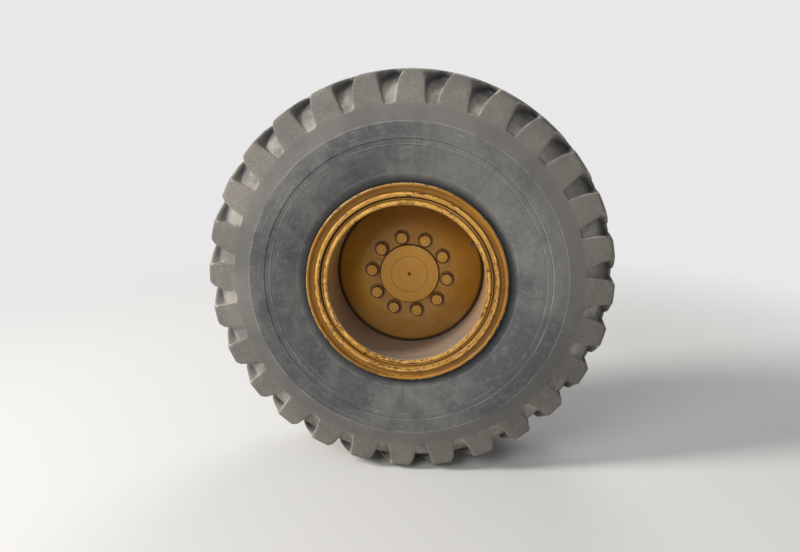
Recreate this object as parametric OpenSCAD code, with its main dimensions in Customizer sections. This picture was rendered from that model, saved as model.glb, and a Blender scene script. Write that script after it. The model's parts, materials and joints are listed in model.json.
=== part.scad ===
// Tandem wheel of a motor grader: tyre, five-piece rim, dished disc, shaft and spindle housing.
// Lengths are in mm. The axle lies along Y, and the outside of the wheel faces -Y.
// The rows of a round section are [radius, reach, corner radius], and reach is the distance
// outwards from the mounting face, or from the middle of the tyre for the tyre and the rim.

/* [Tyre] */
// Diameter over the middle of the tread
tyre_d = 1494; // [1480:1:1510]
// Fall of the tread from its middle to its shoulders
crown_rise = 18; // [12:1:24]
// Bulge of the sidewalls beyond the flanges
side_out = 15; // [10:1:20]
// Shoulders of the tread inwards from the widest section
tread_in = 36; // [30:1:42]
// Corner radius of the shoulders
shoulder_r = 18; // [12:1:22]
// Crease round the sidewalls below the shoulders
crease_drop = 148; // [140:1:156]
// Rubber and cords under the tread
crown_t = 56; // [50:1:62]
// Thickness of the sidewalls
sidewall_t = 24; // [20:1:28]
// Width of the beads on their seats
bead_w = 66; // [60:1:70]

/* [Tread lugs] */
// Number of lugs on each shoulder
lugs_n = 28; // [24:1:30]
// Place of the first groove, seen from outside, in degrees
lug_at = 4.9; // [0:0.1:12]
// Depth of the groove bed below the tread at the shoulder
groove_depth = 24; // [18:1:28]
// Reach of the grooves down the sidewall from the shoulder
groove_drop = 108; // [100:1:114]
// Reach of the grooves across the tread from the shoulder
groove_len = 110; // [90:1:120]
// Width of the grooves at their lower ends
groove_low_w = 46; // [40:1:52]
// Width of the grooves at the shoulder
groove_top_w = 82; // [70:1:88]
// Width of the grooves at their ends on the tread
groove_end_w = 40; // [34:1:46]
// Slant of the grooves across the tread
groove_slant = 42; // [30:1:50]
// Width of the three narrow grooves round the tread
ring_w = 10; // [8:1:12]
// Depth of the narrow grooves
ring_depth = 20; // [16:1:22]
// Width of the slots between the middle blocks
slot_w = 24; // [20:1:28]
// Depth of the slots below the middle of the tread
slot_depth = 27; // [22:1:30]

/* [Rim] */
// Diameter of the bead seats at the flanges
seat_d = 635; // [633:0.5:637]
// Width between the flanges
rim_w = 432; // [426:1:438]
// Height of the flanges above the bead seats
flange_h = 43; // [41:0.5:46]
// Thickness of the flanges
flange_t = 11; // [9:0.5:12]
// Reach of the curled edge from the inside of a flange
flange_reach = 24; // [22:0.5:27]
// Taper of the bead seats in degrees
seat_taper = 5; // [4:0.5:6]
// Length of the bead seats
seat_len = 92; // [86:1:100]
// Height above the bead seats of the lips that hold the flanges
lip_h = 12.5; // [11:0.5:14]
// Thickness of those lips
lip_t = 12; // [10:0.5:14]
// Bead seats to the inside of the barrel
barrel_set = 34.5; // [32:0.5:37]
// Thickness of the barrel
barrel_t = 13; // [11:0.5:14]
// Height of the shelf that carries the bead seat band
shelf_h = 6; // [5:0.5:7]
// Width of the gutter for the lock ring
gutter_w = 16; // [14:0.5:18]
// Thickness of the lip outside the gutter
gutter_lip_t = 13; // [10:0.5:14]
// Gutter lip back from the outer face of the bead seat band
gutter_set = 5; // [1:0.5:7]
// Height of the lock ring
lock_h = 14; // [13:0.5:15]
// Gap between the ends of the split lock ring
lock_gap = 8; // [4:0.5:14]
// Place of the split, seen from outside, in degrees
lock_gap_at = 240; // [0:1:359]

/* [Disc] */
// Thickness of the disc
disc_t = 22; // [18:1:25]
// Outer face of the pad, outwards from the middle of the tyre
pad_set = 60; // [50:1:75]
// Flat pad beyond the wheel flange
pad_margin = 18; // [16:1:24]
// Depth of the dish from the pad to its edge
dish_depth = 31; // [24:1:40]
// Size of the weld at the edge of the disc
weld = 4; // [3:0.5:6]
// Bolt circle of the disc
bolt_circle_d = 285.75; // [280:0.25:290]
// Number of studs
studs_n = 10; // [8:1:10]
// Angle of the first stud in degrees
stud_at = 29.3; // [0:0.1:35]
// Thread diameter of the studs
stud_d = 22; // [20:1:24]
// Extra size of the disc's holes over the studs
stud_hole_gap = 2; // [1:0.5:3]
// Length of the studs beyond the nuts
stud_out = 1; // [0.5:0.5:4]
// Width of the nuts across their flats
nut_af = 38; // [36:1:40]
// Height of the nuts
nut_h = 22; // [20:1:26]
// Diameter of the collar under each nut
nut_collar_d = 52; // [48:1:54]
// Height of that collar
nut_collar_h = 6; // [4:0.5:8]

/* [Shaft] */
// Space between the nuts and the pilot that centres the disc
pilot_margin = 5.4; // [4:0.1:8]
// Gap round the pilot
pilot_gap = 1.5; // [0.5:0.5:2]
// Length of the pilot beyond the pad
pilot_out = 8; // [6:1:20]
// Diameter of the line turned in the end of the pilot
scribe_d = 139; // [120:1:150]
// Wheel flange beyond the bolt circle
hub_edge = 22; // [20:1:26]
// Thickness of the wheel flange
hub_t = 32; // [28:1:36]
// Space between the stud heads and the neck behind the wheel flange
neck_margin = 7; // [6:1:10]
// Diameter of the journal in the outer bearing
journal_d = 160; // [152:1:164]
// Step behind the outer bearing
collar_h = 16; // [12:1:18]
// Diameter of the journal in the inner bearing
inner_journal_d = 140; // [136:1:144]
// Step between one diameter of the shaft and the next
shaft_step = 4; // [3:0.5:5]
// Height of the bearing nut
bearing_nut_h = 24; // [20:1:28]
// Width of the bearing nut
bearing_nut_w = 24; // [20:1:28]
// Depth of the splines
spline_h = 5; // [3:0.5:6]
// Number of splines
splines_n = 24; // [16:1:28]
// Length of the shaft inwards from the mounting face
spline_out = 78; // [65:1:90]

/* [Spindle housing] */
// Mounting face to the middle of the tyre
mid_reach = 310; // [305:1:330]
// Bolt circle of the mounting flange
mount_circle_d = 410; // [400:1:420]
// Mounting flange beyond its bolt circle
mount_edge = 25; // [22:1:30]
// Thickness of the mounting flange
mount_t = 28; // [24:1:32]
// Number of mounting bolts
mount_bolts_n = 16; // [12:1:16]
// Diameter of the mounting bolt holes
mount_hole_d = 22; // [18:1:24]
// Bolt circle to the locating spigot
spigot_in = 35; // [32:1:40]
// Length of the locating spigot
spigot_len = 12; // [8:1:16]
// Bolt circle to the outside of the brake chamber
drum_in = 23; // [21:1:28]
// Length of the brake chamber beyond the flange
drum_len = 96; // [88:1:104]
// Length of the slope from the brake chamber to the neck
slope_len = 40; // [34:1:46]
// Wall of the neck over the outer bearing
neck_wall = 20; // [17:1:22]
// Wall of the nose flange over the outer bearing
nose_wall = 43; // [38:1:48]
// Thickness of the nose flange
nose_t = 26; // [22:1:30]
// Outside diameter of the outer bearing
bearing_d = 250; // [244:1:254]
// Width of the outer bearing
bearing_w = 48; // [42:1:54]
// Outside diameter of the inner bearing
inner_bearing_d = 220; // [214:1:226]
// Width of the inner bearing
inner_bearing_w = 44; // [38:1:48]
// Outer side of the inner bearing, from the mounting face
inner_bearing_at = 112; // [106:1:118]
// Step in the bore behind each bearing
bore_step = 10; // [8:1:12]
// Running clearance of the journals in the bearings
running_fit = 0.05; // [0.02:0.01:0.08]
// Number of ribs on the neck
ribs_n = 8; // [6:1:10]
// Thickness of the ribs
rib_t = 14; // [10:1:18]
// Thickness of the seal retainer
retainer_t = 14; // [12:1:16]
// Space between the seal retainer and the wheel flange
seal_gap = 42; // [36:1:48]
// Gap round the shaft in the seal retainer
retainer_gap = 5; // [5:0.5:7]
// Number of bolts in the seal retainer
retainer_bolts_n = 12; // [8:1:14]
// Thread diameter of the retainer bolts
retainer_bolt_d = 12; // [10:1:14]
// Width of the retainer bolts across their flats
retainer_bolt_af = 19; // [17:1:21]

/* [Fits] */
// Clearance between curved pieces that seat on each other
seat_fit = 0.3; // [0.2:0.05:0.5]
// Clearance of threads and pressed pieces in their holes
thread_fit = 0.1; // [0.05:0.01:0.2]

/* [Valve] */
// Place of the valve, seen from outside, in degrees
valve_at = 28.5; // [0:0.5:359]
// Inside of the barrel to the middle of the stem
valve_gap = 16; // [14:1:20]
// Diameter of the stem
valve_d = 12; // [10:0.5:14]
// Radius of the bend in the stem
valve_bend = 10; // [9:1:12]
// Outer face of the rim to the foot of the stem
valve_depth = 153; // [130:1:160]
// Straight length of the stem
valve_len = 30; // [24:1:50]

/* [Hidden] */

rubber = [0.16, 0.16, 0.17];
paint = [0.80, 0.56, 0.14];
ring_paint = [0.86, 0.62, 0.20];
cast = [0.70, 0.48, 0.12];
steel = [0.62, 0.62, 0.64];
brass = [0.72, 0.60, 0.34];

// Radii and places of the rim, from the middle of the tyre
seat_r = seat_d / 2;
flange_r = seat_r + flange_h;
flange_in = rim_w / 2;
flange_out = flange_in + flange_reach;
foot_out = flange_in + flange_t + seat_fit;
curl_r = flange_reach - flange_t / 2;
curl_centre = [flange_r - curl_r, flange_in + curl_r];
lip_r = seat_r + lip_h;
lip_out = foot_out + lip_t;
seat_in = foot_out - seat_len;
seat_low_r = seat_r - (flange_in - seat_in) * tan(seat_taper);
barrel_r = seat_r - barrel_set;
barrel_out_r = barrel_r + barrel_t;
shelf_r = barrel_out_r + shelf_h;
band_r = shelf_r + seat_fit;
rim_out = lip_out - gutter_set;
gutter_out = rim_out - gutter_lip_t;
gutter_in = gutter_out - gutter_w;
lock_r = barrel_out_r + seat_fit + lock_h;
lock_bevel = lock_r + seat_fit - band_r;

// Radii of the shaft and the housing
bolt_r = bolt_circle_d / 2;
hub_r = bolt_r + hub_edge;
pad_r = hub_r + pad_margin;
pilot_r = bolt_r - nut_collar_d / 2 - pilot_margin;
stud_head_r = stud_d * 0.75;
neck_r = bolt_r - stud_head_r - neck_margin;
journal_r = journal_d / 2;
inner_journal_r = inner_journal_d / 2;
shaft_r = inner_journal_r + shaft_step;
thread_r = inner_journal_r - shaft_step;
spline_r = thread_r - shaft_step;
bearing_r = bearing_d / 2;
inner_bearing_r = inner_bearing_d / 2;
cavity_r = inner_bearing_r - bore_step;
nose_r = bearing_r + nose_wall;
retainer_bolt_r = bearing_r + nose_wall / 2;
mount_r = mount_circle_d / 2 + mount_edge;
drum_r = mount_circle_d / 2 - drum_in;
spigot_r = mount_circle_d / 2 - spigot_in;
housing_neck_r = bearing_r + neck_wall;

// Places along the axle, from the mounting face
pad_out = mid_reach + pad_set;
pad_in = pad_out - disc_t;
hub_in = pad_in - hub_t;
retainer_out = hub_in - seal_gap;
nose_out = retainer_out - retainer_t;
nose_in = nose_out - nose_t;
bearing_in = nose_out - bearing_w;
inner_bearing_in = inner_bearing_at - inner_bearing_w;
nut_out = inner_bearing_in - shaft_step;
nut_in = nut_out - bearing_nut_w;
thread_in = nut_in - shaft_step;
drum_out = mount_t + drum_len;
boss_at = mount_t + drum_len / 2;

function unit(v) = v / norm(v);
function corner(a, b, c, r) =
  let (u = unit(a - b), v = unit(c - b), half = acos(u * v) / 2,
       centre = b + unit(u + v) * r / sin(half),
       p = b + u * r / tan(half) - centre, q = b + v * r / tan(half) - centre,
       from = atan2(p.y, p.x), turn = (atan2(q.y, q.x) - from + 540) % 360 - 180)
  arc(centre, r, from, from + turn, max(2, ceil(abs(turn) / 15)));
function arc(centre, r, from, to, steps) =
  [for (i = [0:steps]) let (a = from + (to - from) * i / steps) centre + r * [cos(a), sin(a)]];
function rounded(rows) =
  let (n = len(rows))
  [for (i = [0:n - 1])
     let (a = rows[(i + n - 1) % n], b = rows[i], c = rows[(i + 1) % n])
     each (b[2] > 0 ? corner([a.x, a.y], [b.x, b.y], [c.x, c.y], b[2]) : [[b.x, b.y]])];
function moved(points, reach) = [for (p = points) [p.x, p.y + reach]];
function flipped(points) = [for (i = [len(points) - 1:-1:0]) [points[i].x, -points[i].y]];

module on_axle() rotate([90, 0, 0]) children();
module turned(points) on_axle() rotate_extrude($fn = 180) polygon(points);
module around(n, first = 0) for (i = [0:n - 1]) rotate([0, 0, first + i * 360 / n]) children();
module radial(at, reach) rotate([0, 0, at]) translate([0, 0, reach]) rotate([0, 90, 0]) children();
module hex_prism(af, h) cylinder(d = af / cos(30), h = h, $fn = 6);
module bore(r, from, to) translate([0, 0, from]) cylinder(r = r, h = to - from, $fn = 48);
module web(t, points) rotate([90, 0, 0]) translate([0, 0, -t / 2]) linear_extrude(t) polygon(points);

// Arcs of the tyre, from its middle
tyre_r = tyre_d / 2;
tread_r = tyre_r - crown_rise;
belly_r = (seat_r + tyre_r) / 2;
side_top_r = tread_r - shoulder_r;
side_half = flange_out + side_out;
crown_half = side_half - tread_in - shoulder_r;
side_arc_r = (pow(side_top_r - belly_r, 2) + tread_in * tread_in) / (2 * tread_in);
side_centre = [belly_r, side_half - side_arc_r];
crown_arc_r = (crown_half * crown_half + crown_rise * crown_rise) / (2 * crown_rise);
crown_centre = [tyre_r - crown_arc_r, 0];
ring_at = crown_half - groove_len;
liner_r = tyre_r - crown_t;
liner_arc_r = side_arc_r - sidewall_t;
function side_angle(r, arc_r) = acos((r - side_centre.x) / arc_r);
function on_side(r, arc_r) =
  side_centre + arc_r * [cos(side_angle(r, arc_r)), sin(side_angle(r, arc_r))];
crease_r = side_top_r - crease_drop;
crease_out = on_side(crease_r, side_arc_r).y;
function on_flank(r) =
  crease_out - (crease_out - crown_half - shoulder_r) * (r - crease_r) / crease_drop;

// The tread from one shoulder to the other, with the narrow grooves round it
function crown_turn(reach) = asin(reach / crown_arc_r);
function crown_piece(from, to) =
  arc(crown_centre, crown_arc_r, crown_turn(from), crown_turn(to), 4);
function ring_bed(reach) = [for (side = [1, -1])
  crown_centre - [ring_depth, 0] + crown_arc_r * [cos(crown_turn(reach)),
                                                  sin(crown_turn(reach + side * ring_w / 2))]];
tread = concat(
  crown_piece(crown_half, ring_at + ring_w / 2), ring_bed(ring_at),
  crown_piece(ring_at - ring_w / 2, ring_w / 2), ring_bed(0),
  crown_piece(-ring_w / 2, ring_w / 2 - ring_at), ring_bed(-ring_at),
  crown_piece(-ring_at - ring_w / 2, -crown_half));

outer_half = concat(
  [[seat_r + seat_fit - bead_w * tan(seat_taper), flange_in - seat_fit - bead_w],
   [seat_r + seat_fit, flange_in - seat_fit]],
  arc(curl_centre, curl_r + seat_fit, -90, -20, 4),
  arc(side_centre, side_arc_r, side_angle(flange_r + 12, side_arc_r),
      side_angle(crease_r, side_arc_r), 8),
  arc([side_top_r, crown_half], shoulder_r, 75, 12, 4));
inner_half = concat(
  corner([liner_r, 0], [liner_r - 14, crown_half - 24], on_side(liner_r - 60, liner_arc_r), 50),
  arc(side_centre, liner_arc_r, side_angle(liner_r - 60, liner_arc_r),
      side_angle(flange_r + 24, liner_arc_r), 10),
  [[seat_r + 28, flange_in - bead_w + 26], [seat_r + 8, flange_in - bead_w + 2]]);

// Walls of a shoulder groove: [rise from its lower end, clockwise wall, anticlockwise wall]
groove_rise = groove_drop + 60;
groove_side = [
  [0, 9 - groove_low_w / 2, groove_low_w / 2 - 9], [8, -groove_low_w / 2, groove_low_w / 2],
  [0.36 * groove_drop, -groove_low_w / 2 - 6, groove_low_w / 2 + 6],
  [0.67 * groove_drop, -groove_top_w / 2 + 5, groove_top_w / 2 - 7],
  [groove_drop, -groove_top_w / 2 - 6, groove_top_w / 2 - 7],
  [groove_rise, -groove_top_w / 2 - 14, groove_top_w / 2 - 6]];
// The same across the tread: [distance from the shoulder, clockwise wall, anticlockwise wall]
groove_plan = [
  [-groove_len, -groove_end_w / 2 - groove_slant, groove_end_w / 2 - groove_slant],
  [-0.45 * groove_len, -groove_top_w / 2 - 19, groove_end_w / 2 - 0.65 * groove_slant],
  [0, -groove_top_w / 2 - 11, groove_top_w / 2 - 5],
  [side_out + tread_in + 40, -groove_top_w / 2 - 16, groove_top_w / 2]];
// Bed of the grooves and the space above it: [radius, distance from the middle of the tyre]
groove_low_r = tread_r - groove_drop;
groove_bed = [
  [groove_low_r, on_flank(groove_low_r) - 4],
  [tread_r - 0.76 * groove_drop, crown_half + tread_in - 13],
  [tread_r - 0.5 * groove_drop, crown_half + shoulder_r - 8],
  [tread_r - groove_depth + 2, crown_half - 7], [tread_r - groove_depth + 9, crown_half - 27],
  [tyre_r - groove_depth + 2, crown_half - groove_len], [2 * tread_r, crown_half - groove_len],
  [2 * tread_r, 2 * side_half], [groove_low_r, 2 * side_half]];

function outline(walls) = concat([for (w = walls) [w[0], w[1]]],
                                 [for (i = [len(walls) - 1:-1:0]) [walls[i][0], walls[i][2]]]);

module shoulder_groove() intersection() {
  translate([groove_low_r, 0, 0]) linear_extrude(2 * side_half) polygon(outline(groove_side));
  translate([tread_r - groove_rise, 0, crown_half]) rotate([90, 0, 90])
    linear_extrude(2 * groove_rise) polygon([for (p = outline(groove_plan)) [p.y, p.x]]);
  translate([0, groove_top_w, 0]) rotate([90, 0, 0])
    linear_extrude(2 * groove_top_w) polygon(groove_bed);
}

module middle_slot() rotate([0, 0, 180 / lugs_n])
  translate([tyre_r - slot_depth, -slot_w / 2, 0]) cube([2 * slot_depth, slot_w, ring_at]);

module tyre() {
  color(rubber) on_axle() translate([0, 0, mid_reach]) difference() {
    rotate_extrude($fn = 180)
      polygon(concat(outer_half, tread, flipped(outer_half), flipped(inner_half), inner_half));
    around(lugs_n, lug_at) {
      shoulder_groove();
      middle_slot();
      rotate([180, 0, 180 / lugs_n]) {
        shoulder_groove();
        middle_slot();
      }
    }
  }
}

module rim_base() {
  color(paint) difference() {
    turned(moved(rounded([
      [barrel_r, rim_out, 5], [barrel_out_r + 5, rim_out, 6], [barrel_out_r + 5, gutter_out, 0],
      [barrel_out_r, gutter_out, 2], [barrel_out_r, gutter_in, 2], [shelf_r, gutter_in, 1.5],
      [shelf_r, seat_in + 10, 3], [barrel_out_r, seat_in - 2, 6],
      [barrel_out_r, 30 - seat_in, 12], [seat_low_r, -seat_in, 4], [seat_r, -flange_in, 0],
      [seat_r, -foot_out, 0], [lip_r, -foot_out, 3], [lip_r, -lip_out, 5],
      [barrel_r + 16, -lip_out, 5], [barrel_r + 16, -seat_in - 16, 14],
      [barrel_r, 20 - seat_in, 20]]), mid_reach));
    on_axle() radial(valve_at, valve_base) bore(valve_d / 2 + 2, barrel_r - 10, shelf_r + 10);
  }
}

flange_half = concat(
  [[seat_r + seat_fit, foot_out - seat_fit], [seat_r + seat_fit, flange_in]],
  arc(curl_centre, curl_r, -90, 0, 6),
  arc([flange_r - flange_t / 2, curl_centre.y], flange_t / 2, 20, 160, 7),
  arc(curl_centre, curl_r - flange_t, 0, -90, 5));

module inner_flange() { color(paint) turned(moved(flipped(flange_half), mid_reach)); }
module outer_flange() { color(paint) turned(moved(flange_half, mid_reach)); }

module bead_seat_band() {
  color(ring_paint) turned(moved(rounded([
    [band_r, seat_in, 1], [seat_low_r, seat_in, 2], [seat_r, flange_in, 0],
    [seat_r, foot_out, 0], [lip_r, foot_out, 3], [lip_r, lip_out, 5],
    [lock_r + seat_fit, lip_out, 7], [lock_r + seat_fit, gutter_in + seat_fit + lock_bevel, 0],
    [band_r, gutter_in + seat_fit, 0]]), mid_reach));
}

module lock_ring() {
  half = asin(lock_gap / 2 / barrel_out_r);
  color(ring_paint) on_axle() rotate([0, 0, lock_gap_at + half])
    rotate_extrude(angle = 360 - 2 * half, $fn = 180) polygon(moved(rounded([
      [barrel_out_r + seat_fit, gutter_in + 2 * seat_fit, 1],
      [band_r - seat_fit, gutter_in + 2 * seat_fit, 0],
      [lock_r, gutter_in + 2 * seat_fit + lock_bevel, 0],
      [lock_r, gutter_out + 6, 4], [barrel_out_r + 5 + seat_fit, gutter_out + 6, 1],
      [barrel_out_r + 5 + seat_fit, gutter_out - seat_fit, 0],
      [barrel_out_r + seat_fit, gutter_out - seat_fit, 1]]), mid_reach));
}

// Dished disc, welded to the barrel at its edge
disc_hole_r = pilot_r + pilot_gap;
dish_angle = atan(dish_depth / (barrel_r - pad_r));
dish_in = disc_t * tan(dish_angle / 2);
edge_t = disc_t / cos(dish_angle);
edge_r = barrel_r - seat_fit;
edge_out = pad_out - dish_depth;

module wheel_disc() {
  color(paint) difference() {
    turned(rounded([
      [disc_hole_r, pad_out, 2], [pad_r, pad_out, 60],
      [edge_r - weld, edge_out + weld * tan(dish_angle), 0], [edge_r, edge_out + 1.5 * weld, 0],
      [edge_r, edge_out - edge_t - weld / 2, 0],
      [edge_r - weld, edge_out - edge_t + weld * tan(dish_angle), 0],
      [pad_r - dish_in, pad_in, 40], [disc_hole_r, pad_in, 0]]));
    on_axle() around(studs_n, stud_at) translate([bolt_r, 0, 0])
      bore((stud_d + stud_hole_gap) / 2, pad_in - 1, pad_out + 1);
  }
}

module wheel_shaft() {
  end = pad_out + pilot_out;
  collar_in = nose_out + 0.5;
  collar_out = nose_out + shaft_step * 2;
  color(steel) {
    difference() {
      turned(rounded([
        [0, thread_in, 0], [thread_r, thread_in, 3], [thread_r, nut_out + thread_fit, 0],
        [inner_journal_r, nut_out + thread_fit, 1], [inner_journal_r, inner_bearing_at + shaft_step, 0],
        [shaft_r, inner_bearing_at + 2 * shaft_step, 0], [shaft_r, bearing_in - 3 * shaft_step, 0],
        [journal_r, bearing_in - shaft_step, 0], [journal_r, collar_in, 0],
        [journal_r + collar_h, collar_in, 3], [journal_r + collar_h, collar_out, 0],
        [neck_r, collar_out, 4], [neck_r, hub_in, 5], [hub_r, hub_in, 3], [hub_r, pad_in, 3],
        [pilot_r, pad_in, 0], [pilot_r, end, 2], [scribe_d / 2 + 1, end, 0],
        [scribe_d / 2, end - 1, 0], [scribe_d / 2 - 1, end, 0], [7, end, 0], [0, end - 7, 0]]));
      on_axle() around(studs_n, stud_at) translate([bolt_r, 0, 0])
        bore(stud_d / 2 + thread_fit, hub_in - 1, pad_in + 1);
    }
    on_axle() translate([0, 0, -spline_out])
      linear_extrude(spline_out + thread_in) polygon(spline_outline);
  }
}

spline_outline = [
  for (i = [0:splines_n - 1])
    let (pitch = 360 / splines_n, at = i * pitch, tip = spline_r, root = tip - spline_h)
    each [for (p = [[root, 0.06], [tip, 0.14], [tip, 0.42], [root, 0.5]])
            p.x * [cos(at + p.y * pitch), sin(at + p.y * pitch)]]];

module bearing_nut() {
  nut_r = thread_r + bearing_nut_h;
  color(steel) on_axle() difference() {
    bore(nut_r, nut_in, nut_out);
    bore(thread_r + thread_fit, nut_in - 1, nut_out + 1);
    around(4) translate([nut_r - bearing_nut_h / 3, -bearing_nut_w / 4, nut_in - 1])
      cube([bearing_nut_h, bearing_nut_w / 2, bearing_nut_w / 2 + 1]);
  }
}

module wheel_studs() {
  head_h = stud_d * 0.64;
  tip = pad_out + nut_h + stud_out;
  color(steel) on_axle() around(studs_n, stud_at) translate([bolt_r, 0, 0]) {
    bore(stud_head_r, hub_in - head_h, hub_in);
    bore(stud_d / 2, hub_in, tip - 2);
    translate([0, 0, tip - 2]) cylinder(r1 = stud_d / 2, r2 = stud_d / 2 - 2, h = 2, $fn = 48);
  }
}

module wheel_nuts() {
  color(paint) on_axle() around(studs_n, stud_at) translate([bolt_r, 0, pad_out])
    difference() {
      union() {
        cylinder(d1 = nut_collar_d, d2 = nut_collar_d - 4, h = nut_collar_h, $fn = 48);
        intersection() {
          hex_prism(nut_af, nut_h);
          cylinder(d1 = nut_af + nut_h + 12, d2 = nut_af, h = nut_h, $fn = 48);
        }
      }
      bore(stud_d / 2 + thread_fit, -1, nut_h + 1);
    }
}

// Bent valve stem, carried in the barrel outside the disc
valve_base = mid_reach + lip_out - valve_depth;
spud_r = valve_d / 2 + 5;
valve_r = barrel_r - valve_gap;
valve_tip = valve_base + valve_bend + valve_len;

module valve_stem() {
  elbow_r = valve_r + valve_bend;
  color(brass) on_axle() rotate([0, 0, valve_at]) {
    translate([0, 0, valve_base]) rotate([0, 90, 0]) {
      bore(valve_d / 2, elbow_r, barrel_out_r + 6);
      bore(spud_r, elbow_r - 1, barrel_r - 0.6);
    }
    translate([elbow_r, 0, valve_base + valve_bend]) rotate([90, 0, 0]) rotate([0, 0, 180])
      rotate_extrude(angle = 90, $fn = 48) translate([valve_bend, 0]) circle(d = valve_d, $fn = 48);
    translate([valve_r, 0, 0])
      bore(valve_d / 2, valve_base + valve_bend, valve_tip);
  }
}

module valve_cap() {
  color(steel) on_axle() rotate([0, 0, valve_at]) translate([valve_r, 0, 0]) difference() {
    bore(valve_d / 2 + 2, valve_tip - 10, valve_tip + 4);
    bore(valve_d / 2 + thread_fit, valve_tip - 11, valve_tip + thread_fit);
  }
}

// Bosses on the brake chamber: [angle, diameter, height, hole]
port_boss = [60, 46, 14, 20];
bleed_boss = [120, 30, 8, 10];
drain_boss = [270, 46, 8, 24];
boss_hole = 18;

module boss(row) radial(row[0], boss_at) bore(row[1] / 2, inner_bearing_r + 12, drum_r + row[2]);
module boss_bore(row)
  radial(row[0], boss_at) bore(row[3] / 2 + thread_fit, drum_r + row[2] - boss_hole, 2 * drum_r);
module screwed_in(row) on_axle() radial(row[0], boss_at) translate([0, 0, drum_r + row[2]]) {
  bore(row[3] / 2, 1 - boss_hole, 0);
  children();
}

module spindle_housing() {
  seat_1 = bearing_r + thread_fit;
  seat_2 = inner_bearing_r + thread_fit;
  mouth_r = seat_2 + bore_step;
  color(cast) difference() {
    union() {
      turned(rounded([
        [mouth_r, -spigot_len, 2], [spigot_r, -spigot_len, 2], [spigot_r, 0, 0],
        [mount_r, 0, 2], [mount_r, mount_t, 3], [drum_r, mount_t, 12], [drum_r, drum_out, 14],
        [housing_neck_r, drum_out + slope_len, 22], [housing_neck_r, nose_in, 10],
        [nose_r, nose_in, 3], [nose_r, nose_out, 2], [seat_1, nose_out, 2],
        [seat_1, bearing_in, 0], [cavity_r, bearing_in, 2], [cavity_r, inner_bearing_at, 2],
        [seat_2, inner_bearing_at, 0], [seat_2, inner_bearing_in - 4, 0],
        [mouth_r, inner_bearing_in - 4 - bore_step, 0]]));
      on_axle() {
        around(ribs_n, 180 / ribs_n) web(rib_t, [
          [housing_neck_r - 6, drum_out - 12], [drum_r - 10, drum_out - 12],
          [nose_r - 8, nose_in + 4], [housing_neck_r - 6, nose_in + 4]]);
        around(mount_bolts_n / 2, 180 / mount_bolts_n) web(rib_t - 2, [
          [drum_r - 6, mount_t - 4], [mount_r - 10, mount_t - 4],
          [mount_r - 10, mount_t + 6], [drum_r - 6, mount_t + 36]]);
        boss(port_boss);
        boss(bleed_boss);
        boss(drain_boss);
      }
    }
    on_axle() {
      around(mount_bolts_n) translate([mount_circle_d / 2, 0, 0])
        bore(mount_hole_d / 2, -1, mount_t + 60);
      around(retainer_bolts_n, 15) translate([retainer_bolt_r, 0, 0])
        bore(retainer_bolt_d / 2 + thread_fit, nose_in + 4, nose_out + 1);
      boss_bore(port_boss);
      boss_bore(bleed_boss);
      boss_bore(drain_boss);
    }
  }
}

module outer_bearing() {
  color(steel) turned(rounded([
    [journal_r + running_fit, bearing_in, 1], [bearing_r, bearing_in, 1],
    [bearing_r, nose_out - 1, 1], [journal_r + running_fit, nose_out - 1, 1]]));
}

module inner_bearing() {
  color(steel) turned(rounded([
    [inner_journal_r + running_fit, inner_bearing_in, 1], [inner_bearing_r, inner_bearing_in, 1],
    [inner_bearing_r, inner_bearing_at, 1], [inner_journal_r + running_fit, inner_bearing_at, 1]]));
}

module seal_retainer() {
  color(cast) difference() {
    turned(rounded([
      [neck_r + retainer_gap, nose_out, 1], [nose_r, nose_out, 2],
      [nose_r, retainer_out, 3], [neck_r + retainer_gap, retainer_out, 2]]));
    on_axle() around(retainer_bolts_n, 15) translate([retainer_bolt_r, 0, 0])
      bore(retainer_bolt_d / 2 + thread_fit, nose_out - 1, retainer_out + 1);
  }
}

module retainer_bolts() {
  color(steel) on_axle() around(retainer_bolts_n, 15) translate([retainer_bolt_r, 0, 0]) {
    bore(retainer_bolt_d / 2, nose_in + 6, retainer_out);
    translate([0, 0, retainer_out]) hex_prism(retainer_bolt_af, retainer_bolt_d * 0.65);
  }
}

module brake_port() {
  color(steel) screwed_in(port_boss) {
    hex_prism(30, 12);
    bore(9, 12, 22);
    translate([0, 0, 22]) hex_prism(24, 12);
  }
}

module bleed_screw() {
  color(steel) screwed_in(bleed_boss) {
    hex_prism(14, 8);
    bore(4, 8, 18);
  }
}

module drain_plug() {
  color(steel) screwed_in(drain_boss) hex_prism(30, 12);
}

tyre();
rim_base();
inner_flange();
outer_flange();
bead_seat_band();
lock_ring();
wheel_disc();
wheel_shaft();
bearing_nut();
wheel_studs();
wheel_nuts();
valve_stem();
valve_cap();
spindle_housing();
outer_bearing();
inner_bearing();
seal_retainer();
retainer_bolts();
brake_port();
bleed_screw();
drain_plug();
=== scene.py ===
"""Looks of a motor grader's tandem wheel and of the spindle housing that carries it."""

import json
from collections import namedtuple
from math import acos, cos, pi, radians, sin, sqrt, tan

import bmesh
import bpy
from mathutils import Matrix, Vector
from mathutils.geometry import interpolate_bezier


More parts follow.
